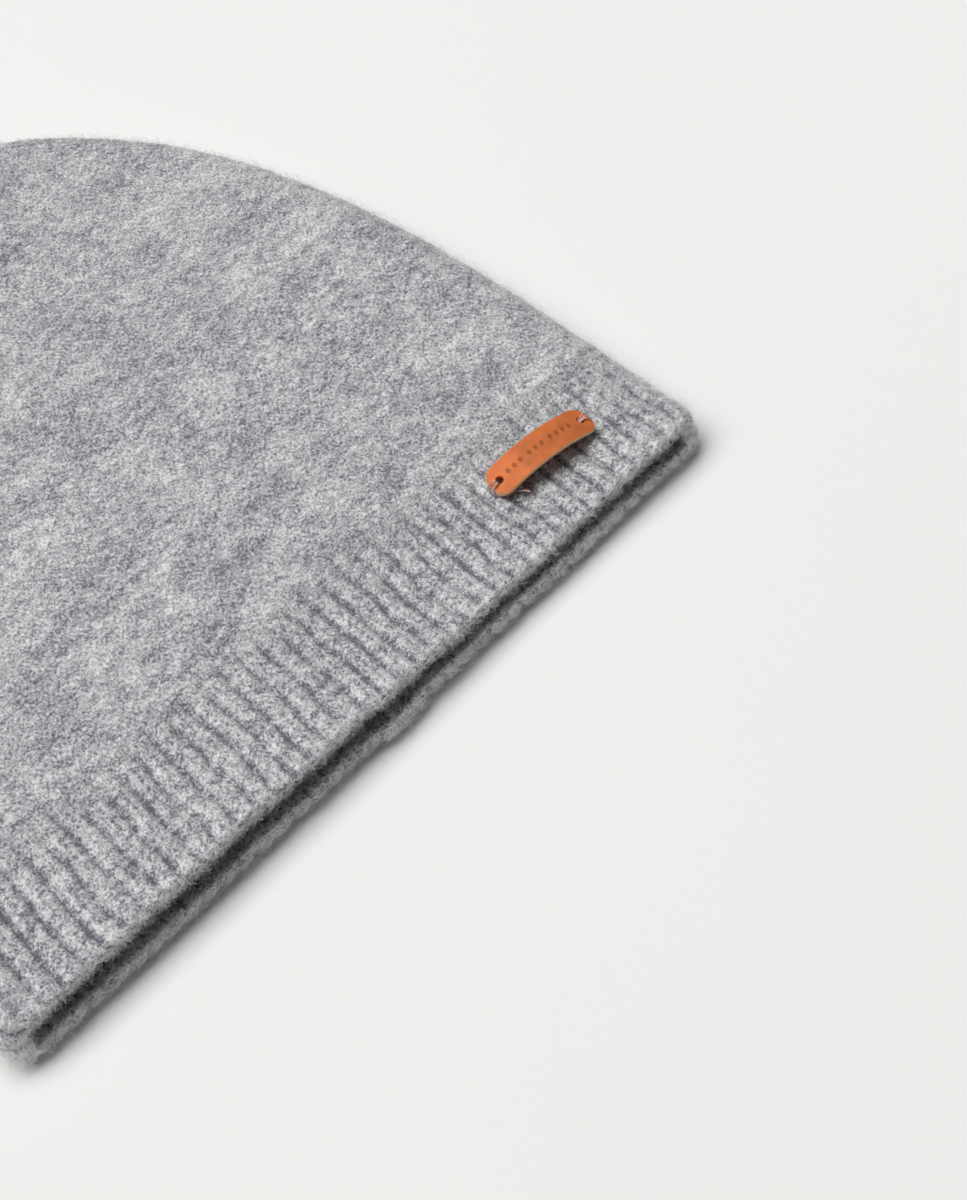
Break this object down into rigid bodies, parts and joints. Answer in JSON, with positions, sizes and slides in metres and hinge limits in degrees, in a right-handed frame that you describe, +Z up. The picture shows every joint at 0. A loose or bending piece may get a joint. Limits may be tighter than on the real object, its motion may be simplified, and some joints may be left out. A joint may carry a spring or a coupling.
{
  "type": "knit beanie",
  "caption": "Brushed wool knit beanie lying flat, with a dome-shaped crown, a ribbed hem band, an inner back seam and a small arched leather tag.",
  "frame": {"origin": "middle of the hat's footprint, on the surface it lies on", "axes": "+Z up, +Y from the hem to the top of the crown, +X along the hem, to the wearer's left, towards the leather tag"},
  "size_m": [0.2206, 0.2185, 0.0167],
  "materials": {
    "brushed_knit": "brushed melange wool",
    "ribbed_knit": "brushed melange wool, ribbed",
    "seam_knit": "folded knit edge",
    "leather": "smooth tan leather with a raw edge",
    "thread": "matte sewing thread"
  },
  "bodies": {
    "root": {"crown": "brushed_knit", "rib_band": "ribbed_knit", "back_seam": "seam_knit", "leather_tag": "leather", "tag_stitch_left": "thread", "tag_stitch_right": "thread"}
  },
  "joints": []
}
